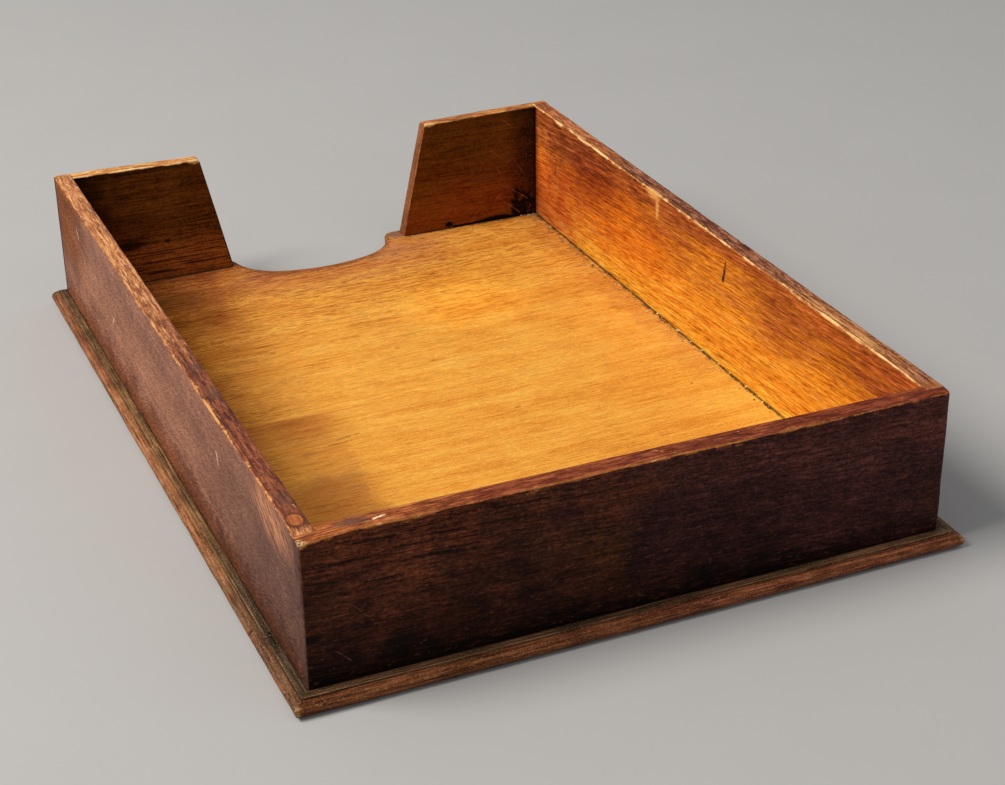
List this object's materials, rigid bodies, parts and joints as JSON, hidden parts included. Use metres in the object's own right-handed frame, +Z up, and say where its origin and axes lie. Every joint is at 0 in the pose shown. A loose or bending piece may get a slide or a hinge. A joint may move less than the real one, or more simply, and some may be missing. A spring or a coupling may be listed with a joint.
{
  "type": "filing tray",
  "caption": "Open wooden desk filing tray with a moulded base, plain low walls, sloped cheeks at the open front and a finger cut-out between them for lifting papers.",
  "frame": {"origin": "middle of the base's footprint, on the surface that the tray stands on", "axes": "+Z up, the open front with the finger cut-out faces -Y, +X is the user's right"},
  "size_m": [0.277, 0.3842, 0.0674],
  "materials": {
    "wall_wood": "worn polish, satin",
    "base_wood": "worn polish, satin",
    "pin_steel": "dull, darkened",
    "screw_brass": "tarnished"
  },
  "bodies": {
    "root": {"rear_wall": "wall_wood", "side_left": "wall_wood", "side_right": "wall_wood", "cheek_left": "wall_wood", "cheek_right": "wall_wood", "base_rear_board": "base_wood", "base_front_board": "base_wood", "pin_rear_left_1": "pin_steel", "pin_rear_left_2": "pin_steel", "pin_rear_left_3": "pin_steel", "pin_rear_right_1": "pin_steel", "pin_rear_right_2": "pin_steel", "pin_rear_right_3": "pin_steel", "pin_front_left_1": "pin_steel", "pin_front_left_2": "pin_steel", "pin_front_left_3": "pin_steel", "pin_front_right_1": "pin_steel", "pin_front_right_2": "pin_steel", "pin_front_right_3": "pin_steel", "screw_rear_1": "screw_brass", "screw_rear_2": "screw_brass", "screw_rear_3": "screw_brass", "screw_side_left_1": "screw_brass", "screw_side_left_2": "screw_brass", "screw_side_left_3": "screw_brass", "screw_side_left_4": "screw_brass", "screw_cheek_left_1": "screw_brass", "screw_cheek_left_2": "screw_brass", "screw_side_right_1": "screw_brass", "screw_side_right_2": "screw_brass", "screw_side_right_3": "screw_brass", "screw_side_right_4": "screw_brass", "screw_cheek_right_1": "screw_brass", "screw_cheek_right_2": "screw_brass"}
  },
  "joints": []
}
